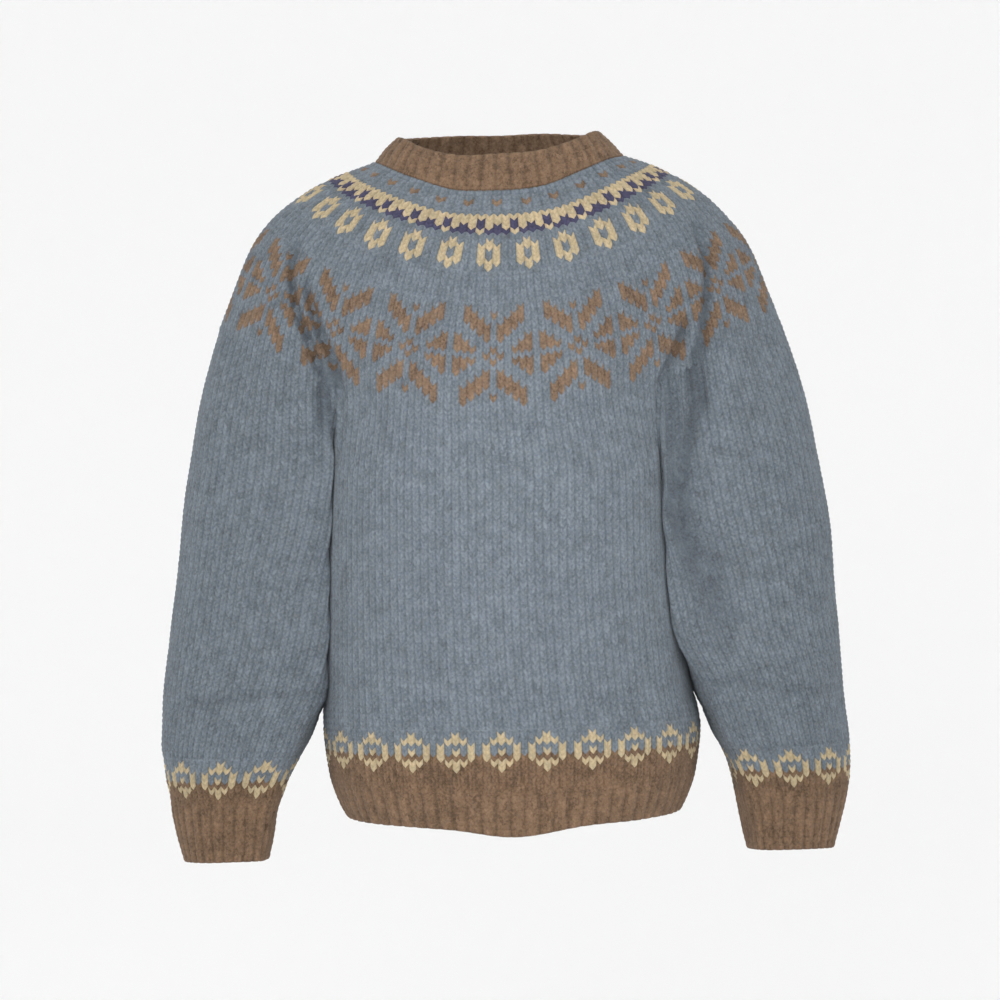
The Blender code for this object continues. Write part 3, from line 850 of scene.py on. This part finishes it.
def make_yoke(random):
    """The yoke, in bands that each have more stitches, and its last ring of points."""
    wall = Wall()
    starts = [row for _, row, _, _ in YOKE_PATTERN]
    ends = [row + len(chart) for chart, row, _, _ in YOKE_PATTERN]
    first, start = 0, 0.0
    for rows, stitches, end in YOKE_BANDS:
        after = first + rows
        pattern = [entry for entry in YOKE_PATTERN if first <= entry[1] < after]
        shift = 0.0
        if pattern and stitches != YOKE_FOOT_STITCHES:
            shift = phase_of(pattern[0][3], stitches)
        moved = [(chart, row - first, middle, share - shift) for chart, row, middle, share in pattern]
        yarn = charted(rows, stitches, moved)
        level_top = first in ends and first not in starts
        level_bottom = after in starts and after not in ends
        last = end == 1.0
        surface = yoke_surface(stitches * ACROSS, shift, start, end)
        points, _ = knit_rings(
            wall, surface, yarn, random,
            top=float(level_top or first == 0),
            bottom=armhole_fade() if last else float(level_bottom),
            zips=(ZIP * level_top, ZIP * level_bottom),
            room=ROOM * (first in ends and first in starts),
            seam=last, below=BLUE)
        first, start = after, end
    lining(wall, yoke_surface(YOKE_FOOT_STITCHES), YOKE_LINING_ROWS, YOKE_FOOT_STITCHES, True, True)
    return wall.build("yoke_knit"), points[-1]


def make_tube(name, random, rows, stitches, main, border_stitches, border, share, joined, level):
    """A piece from the yoke down to its band, and its last ring of points. main and border give the form
    of its plain cloth and of its border with a number of columns. share places the border's chart."""
    wall = Wall()
    knit_rings(wall, main(stitches * ACROSS), charted(rows, stitches, ()), random, top=level, bottom=1.0,
               zips=(0.0, ZIP), joined=joined)
    yarn = charted(BORDER_ROWS, border_stitches, [(BORDER, 0, BORDER_MIDDLE, share)])
    points, _ = knit_rings(wall, border(border_stitches * ACROSS), yarn, random, seam=True)
    lining(wall, border(border_stitches), BORDER_LINING_ROWS, border_stitches, False, True)
    lining(wall, main(stitches), rows // 2, stitches, True, False)
    return wall.build(name), points[-1]


def make_body(random, foot, yoke_end):
    """The body down to the hem band, and its last ring of points."""
    edge, _, above = body_edge(*foot)
    joined = body_edge(yoke_end, *foot[1:])[0]
    under = np.ones(BODY_UNDERARM_STITCHES * ACROSS)

    def main(columns):
        shares, every = closed_shares(columns), len(edge) // columns
        lines = [above[::every], edge[::every], *(body_ring(row, shares) for row in BODY_RINGS)]
        return Surface(np.stack(lines), 1, -1, 1).to_height(BORDER_HEIGHT)

    def border(columns):
        # The hem band's first ring leads the lines on
        shares = closed_shares(columns)
        rings = [body_ring(row, shares) for row in BODY_RINGS[-4:]]
        rings.append(hem_ring(HEM_RINGS[0], shares, HEM_DIPS[0]))
        return Surface(np.stack(rings), 0, -2, 1).from_height(BORDER_HEIGHT)

    return make_tube("body_knit", random, BODY_ROWS, BODY_STITCHES, main, BORDER_STITCHES, border,
                     BODY_BORDER_SHARE, joined, round_body(armhole_fade(), under, under))


def make_sleeve(random, word, side, foot, yoke_end):
    """A sleeve down to its cuff, and its last ring of points."""
    edge, _, above = sleeve_edge(*foot, side)
    joined = sleeve_edge(yoke_end, *foot[1:], side)[0]
    under = np.ones(SLEEVE_UNDERARM_STITCHES * ACROSS)

    def main(columns):
        shares, every = closed_shares(columns), len(edge) // columns
        lines = [above[::every], edge[::every], *(sleeve_ring(row, shares, side) for row in SLEEVE_RINGS)]
        return Surface(np.stack(lines), 1, -1, side, SLEEVE_CREASES[side]).to_height(SLEEVE_BORDER_HEIGHT)

    def border(columns):
        # The cuff's first ring leads the lines on
        shares = closed_shares(columns)
        rings = [sleeve_ring(row, shares, side) for row in SLEEVE_RINGS[-5:]]
        rings.append(sleeve_ring(CUFF_RINGS[0], shares, side, CUFF_TILTS[0]))
        return Surface(np.stack(rings), 0, -2, side).from_height(SLEEVE_BORDER_HEIGHT)

    return make_tube(f"sleeve_{word}_knit", random, SLEEVE_ROWS, SLEEVE_STITCHES, main,
                     SLEEVE_BORDER_STITCHES, border, SLEEVE_BORDER_SHARE[word], joined,
                     round_sleeve(armhole_fade(), under, side))


def make_band(name, surface, rows, stitches, random, plain_rows, joined=None):
    """A ribbed band: knitted outside, ribbed inside too, with a rounded free edge."""
    wall = Wall()
    yarn = np.full((rows, stitches), BAND, np.int32)
    ribs = np.clip((np.arange(rows) - plain_rows + 1) / 2, 0, 1)
    top = 1.0 if joined is None else 0.0
    outer, into = knit_rings(wall, surface, yarn, random, ribs=ribs, top=top, bottom=1.0, joined=joined)
    beyond = unit(outer[-1] - outer[-3])
    rim = outer[-1] + into[-1] * WALL / 2 + beyond * LIP
    wall.ring(rim, surface.shares, stitches, rows, BAND)
    knit_rings(wall, surface, yarn, random, ribs=ribs, top=1.0, bottom=1.0, inside=True)
    return wall.build(name)


def make_hem_band(random, joined):
    shares = closed_shares(BORDER_STITCHES * ACROSS)
    rings = [body_ring(row, shares) for row in BODY_RINGS[-3:]]
    rings += [hem_ring(row, shares, dip) for row, dip in zip(HEM_RINGS, HEM_DIPS)]
    surface = Surface(np.stack(rings), 2, -1, 1)
    return make_band("hem_band_knit", surface, HEM_ROWS, BORDER_STITCHES, random, 3, joined)


def make_cuff(random, word, side, joined):
    shares = closed_shares(SLEEVE_BORDER_STITCHES * ACROSS)
    rings = [sleeve_ring(row, shares, side) for row in SLEEVE_RINGS[-3:]]
    rings += [sleeve_ring(row, shares, side, tilt) for row, tilt in zip(CUFF_RINGS, CUFF_TILTS)]
    surface = Surface(np.stack(rings), 2, -1, side)
    return make_band(f"cuff_{word}_knit", surface, CUFF_ROWS, SLEEVE_BORDER_STITCHES, random, 1, joined)


def make_collar(random):
    shares = closed_shares(COLLAR_STITCHES * ACROSS)
    first, second = yoke_levels(shares)[:2]
    middle, rim = (swayed(ring_through(ring, shares)) for ring in (COLLAR_MIDDLE, COLLAR_RIM))
    surface = Surface(np.stack([first + (second - first) * LEAD_IN, first, middle, rim]), 1, 3, -1)
    return make_band("collar_knit", surface, COLLAR_ROWS, COLLAR_STITCHES, random, 0)


# ---- finish ----

YARN_COLOURS = (
    # name, colour in bytes, how much lighter and darker its flecks are
    ("blue_wool", (123, 132, 140), 0.34),
    ("tan_wool", (137, 114, 94), 0.42),
    ("cream_wool", (199, 181, 146), 0.24),
    ("purple_wool", (78, 76, 102), 0.30),
    ("brown_wool", (128, 104, 83), 0.46),
)
FLECKS = 470.0  # how many flecks of fibre there are in a metre
BLOTCHES = 60.0
TONE_WEIGHT = 0.050  # how much the stitches' legs differ
COOL_FIBRE = (0.86, 0.96, 1.10)
WARM_FIBRE = (1.12, 1.06, 0.96)
# How far the painted shade darkens the yarn at its darkest, and the colour that it multiplies it by
HOLLOW_SHADE = 0.55
SHADE_COLOUR = (0.32, 0.32, 0.33, 1.0)
FIBRES_A_STITCH = (3.0, 11.0, 1.0)  # how many across a stitch and along it
FUZZ = 1500.0  # how many bumps of fuzz there are in a metre


def set_shader(material, values):
    """Sets inputs of a material's shader."""
    for title, value in values.items():
        material.node_tree.nodes["Principled BSDF"].inputs[title].default_value = value


def wool(name, colour, flecked):
    """Heathered wool: lighter, darker and cooler fibres, painted shade between the stitches and in the
    creases, and a soft fuzz.
    """
    material = bpy.data.materials.new(name)
    material.use_nodes = True
    nodes, links = material.node_tree.nodes, material.node_tree.links
    shader = nodes["Principled BSDF"]

    def add(kind, output, inputs, **settings):
        """A new node's output. Its inputs are values or other nodes' outputs."""
        node = nodes.new("ShaderNode" + kind)
        for title, value in settings.items():
            setattr(node, title, value)
        for title, value in inputs.items():
            if isinstance(value, bpy.types.NodeSocket):
                links.new(value, node.inputs[title])
            else:
                node.inputs[title].default_value = value
        return node.outputs[output]

    def noise(vector, scale, detail, roughness=0.6):
        inputs = {"Vector": vector, "Scale": scale, "Detail": detail, "Roughness": roughness}
        return add("TexNoise", "Fac", inputs)

    def added(one, other, weight):
        return add("Math", 0, {0: other, 1: weight, 2: one}, operation="MULTIPLY_ADD")

    def spread(value, low, high, top):
        inputs = {"Value": value, "From Min": low, "From Max": high, "To Max": top}
        return add("MapRange", "Result", inputs)

    def mixed(one, other, factor, blend="MIX"):
        inputs = {"A": one, "B": other, "Factor": factor}
        return add("Mix", "Result", inputs, data_type="RGBA", blend_type=blend)

    def attribute(title):
        return add("Attribute", "Fac", {}, attribute_name=title)

    def tinted(tint):
        return (*(value * part for value, part in zip(colour, tint)), 1.0)

    place = add("TexCoord", "Object", {})
    fleck = added(noise(place, FLECKS, 3.0, 0.7), noise(place, BLOTCHES, 2.0), 0.45)
    fleck = added(fleck, attribute("tone"), TONE_WEIGHT)
    wool_colour = mixed(tinted([1 - flecked] * 3), tinted([1 + flecked] * 3), spread(fleck, 0.50, 0.95, 1.0))
    for tint, size, share in ((COOL_FIBRE, 0.6, 0.6), (WARM_FIBRE, 0.45, 0.5)):
        fibre = spread(noise(place, FLECKS * size, 2.0), 0.50, 0.75, share)
        wool_colour = mixed(wool_colour, tinted(tint), fibre)
    # The shade painted in the grooves, the creases and on the inner side darkens the yarn's colour
    shade = spread(attribute("hollow"), 0.0, 1.0, HOLLOW_SHADE)
    wool_colour = mixed(wool_colour, SHADE_COLOUR, shade, "MULTIPLY")
    links.new(wool_colour, shader.inputs["Base Color"])

    stitches = add("UVMap", "UV", {}, uv_map="stitches")
    along_legs = add("Mapping", "Vector", {"Vector": stitches, "Scale": FIBRES_A_STITCH})
    fuzz = added(noise(along_legs, 1.0, 3.0), noise(place, FUZZ, 3.0, 0.7), 0.6)
    normal = add("Bump", "Normal", {"Height": fuzz, "Strength": 0.6, "Distance": 0.0006})
    links.new(normal, shader.inputs["Normal"])
    set_shader(material, {
        "Roughness": 0.95,
        "Specular IOR Level": 0.12,
        "Sheen Weight": 0.08,
        "Sheen Roughness": 0.5,
    })
    return material


def linear(red, green, blue):
    """A colour in bytes as linear light."""
    return tuple(((value / 255 + 0.055) / 1.055) ** 2.4 for value in (red, green, blue))


def make_sweater():
    """Knits the pieces, and gives each its yarns and its place in the frame."""
    random = np.random.default_rng(SEED)
    foot = yoke_foot()
    yoke, yoke_end = make_yoke(random)
    body, body_end = make_body(random, foot, yoke_end)
    pieces = [yoke, body, make_hem_band(random, body_end), make_collar(random)]
    for word, side in (("right", 1), ("left", -1)):
        sleeve, sleeve_end = make_sleeve(random, word, side, foot, yoke_end)
        pieces += [sleeve, make_cuff(random, word, side, sleeve_end)]
    yarns = [wool(name, linear(*colour), flecked) for name, colour, flecked in YARN_COLOURS]
    for piece in pieces:
        for material in yarns:
            piece.data.materials.append(material)
        solid = piece.name.removesuffix("_knit")
        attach(piece, "root")
        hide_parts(solid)


# ---- studio ----

CAMERA_PLACE = (-0.0065, -2.5, -0.324)
CAMERA_ROLL = math.radians(1.3)
PICTURE_WIDTH = 0.95  # what the picture shows at the sweater's middle, in metres
SENSOR = 36.0
FLOOR = -1.1
STUDIO_RADIUS, STUDIO_CURVE, STUDIO_TOP = 6.0, 2.0, 5.0
STUDIO_GLOW = 0.08  # it gives a little light itself, so that it is nearly white
LIT_PLACE = (0.0, 0.0, -0.3)  # the lamps point there


def make_camera():
    data = bpy.data.cameras.new("camera")
    data.sensor_width = SENSOR
    data.lens = SENSOR * -CAMERA_PLACE[1] / PICTURE_WIDTH
    camera = placed("camera", data)
    camera.location = CAMERA_PLACE
    camera.rotation_euler = (math.pi / 2, CAMERA_ROLL, 0)
    bpy.context.scene.camera = camera


def make_studio():
    """A pale round floor that curves up into a wall, with soft light from all over."""
    angle = np.linspace(0, math.pi / 2, 17)
    across = STUDIO_RADIUS - STUDIO_CURVE * (1 - np.sin(angle))
    height = FLOOR + STUDIO_CURVE * (1 - np.cos(angle))
    profile = [(0.0, 0.0, FLOOR), *((x, 0.0, z) for x, z in zip(across, height)),
               (STUDIO_RADIUS, 0.0, STUDIO_TOP)]
    mesh = bpy.data.meshes.new("studio")
    mesh.from_pydata(profile, [(i, i + 1) for i in range(len(profile) - 1)], [])
    floor = placed("studio", mesh)
    turn = floor.modifiers.new("round", "SCREW")
    turn.steps = turn.render_steps = 96
    turn.use_merge_vertices = True
    turn.merge_threshold = 0.0001
    turn.use_smooth_shade = True
    material = bpy.data.materials.new("studio_white")
    material.use_nodes = True
    set_shader(material, {
        "Base Color": (0.9, 0.9, 0.9, 1.0),
        "Roughness": 0.9,
        "Specular IOR Level": 0.1,
        "Emission Color": (1.0, 1.0, 1.0, 1.0),
        "Emission Strength": STUDIO_GLOW,
    })
    mesh.materials.append(material)

    world = bpy.data.worlds.new("studio")
    world.use_nodes = True
    background = world.node_tree.nodes["Background"]
    background.inputs["Color"].default_value = (1.0, 1.0, 1.0, 1.0)
    background.inputs["Strength"].default_value = 1.0
    bpy.context.scene.world = world

    for name, place, width, height, spread, power in (
        ("key", (-0.7, -3.6, 0.5), 1.2, 1.2, 180, 24.6),
        ("front", (0.0, -3.1, -0.33), 0.1, 0.5, 12, 0.15),
    ):
        data = bpy.data.lights.new(name, "AREA")
        data.shape = "RECTANGLE"
        data.size, data.size_y, data.spread = width, height, math.radians(spread)
        data.energy = power
        lamp = placed(name, data)
        lamp.location = place
        way = np.array(LIT_PLACE) - np.array(place)
        lamp.rotation_euler = (
            math.acos(-way[2] / np.linalg.norm(way)), 0, math.atan2(way[1], way[0]) - math.pi / 2)
    bpy.context.scene.view_settings.view_transform = "Standard"


make_camera()
make_sweater()
make_studio()
